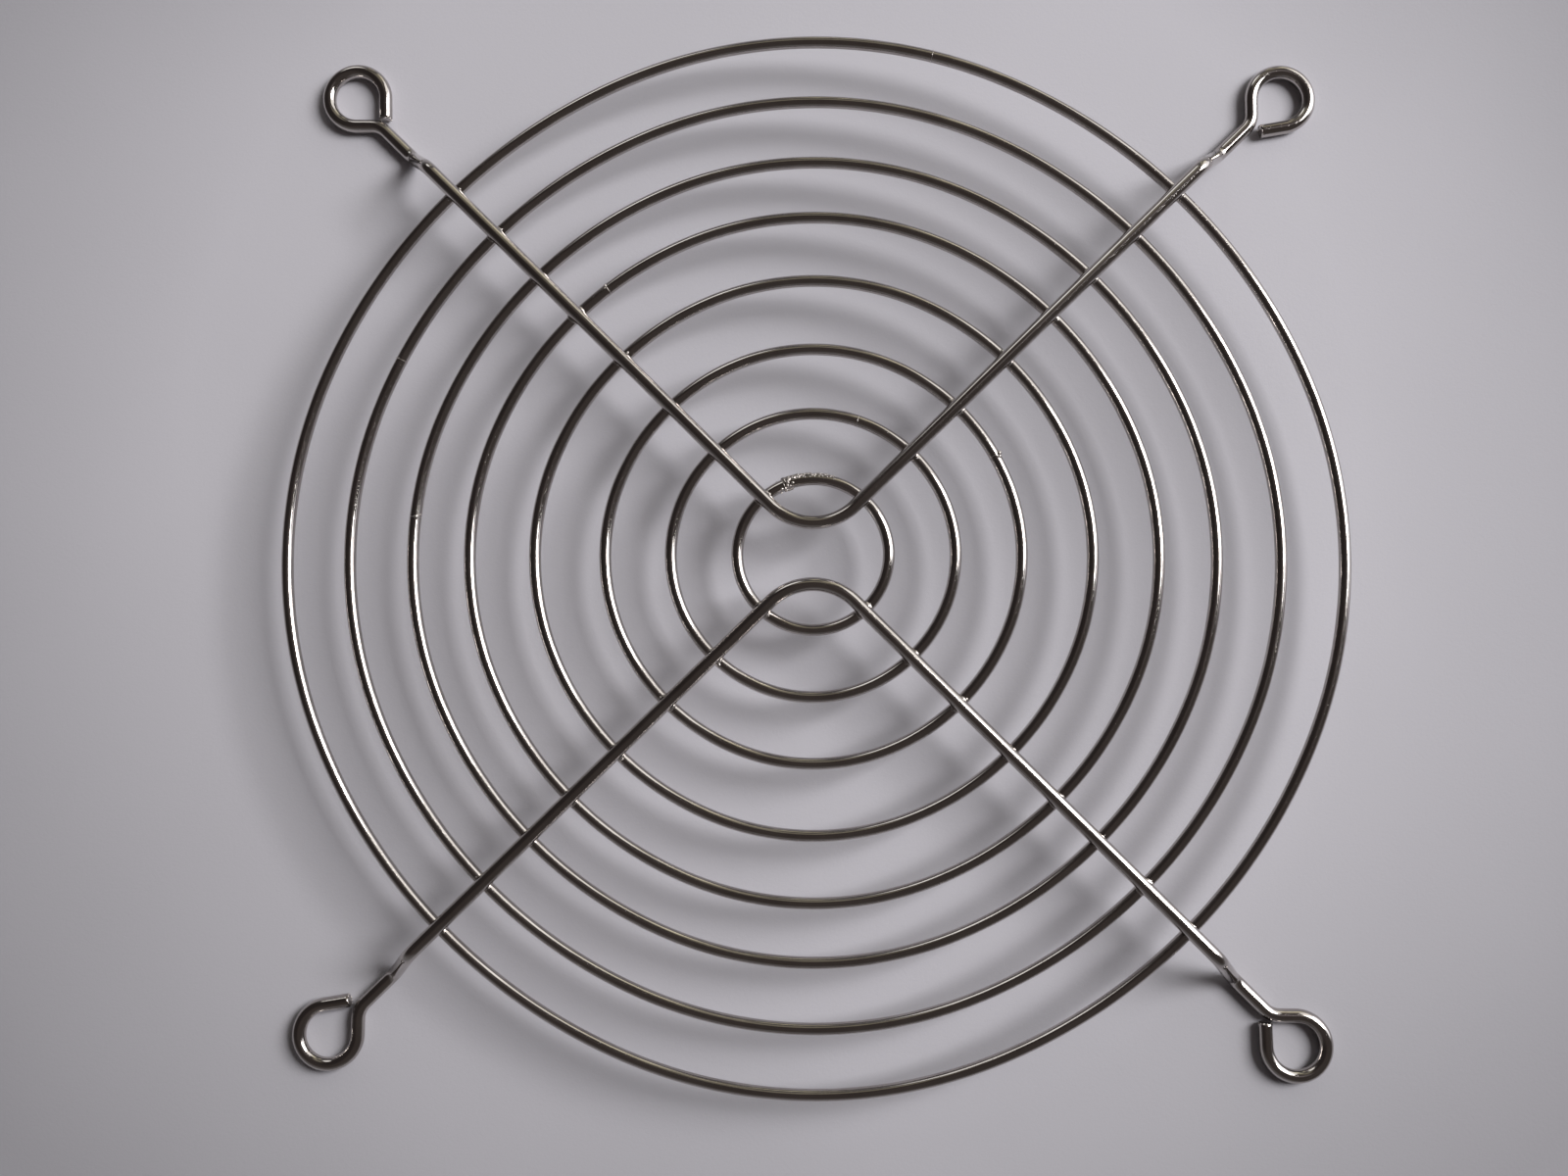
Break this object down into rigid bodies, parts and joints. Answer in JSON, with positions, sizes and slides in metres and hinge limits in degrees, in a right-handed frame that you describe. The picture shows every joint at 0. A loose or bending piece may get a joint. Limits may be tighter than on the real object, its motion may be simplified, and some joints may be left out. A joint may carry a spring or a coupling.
{
  "type": "wire fan guard",
  "caption": "Round wire finger guard for an axial fan: concentric rings welded under two V-shaped spoke wires that end in screw eyes.",
  "frame": {"origin": "middle of the mounting plane, the plane on which the four screw eyes rest", "axes": "+Z along the fan's axis, away from the fan; +X and +Y along the sides of the square that the screw eyes make; the V of the upper spoke wire opens towards +Y"},
  "size_m": [0.1158, 0.1158, 0.007],
  "materials": {
    "plated_spoke_wire": "bright nickel-chrome plate on drawn steel wire, polished, with faint draw lines",
    "plated_ring_wire": "bright nickel-chrome plate on drawn steel wire, polished, with faint draw lines"
  },
  "bodies": {
    "root": {"upper_spoke_wire": "plated_spoke_wire", "lower_spoke_wire": "plated_spoke_wire", "ring_1": "plated_ring_wire", "ring_2": "plated_ring_wire", "ring_3": "plated_ring_wire", "ring_4": "plated_ring_wire", "ring_5": "plated_ring_wire", "ring_6": "plated_ring_wire", "ring_7": "plated_ring_wire", "ring_8": "plated_ring_wire"}
  },
  "joints": []
}
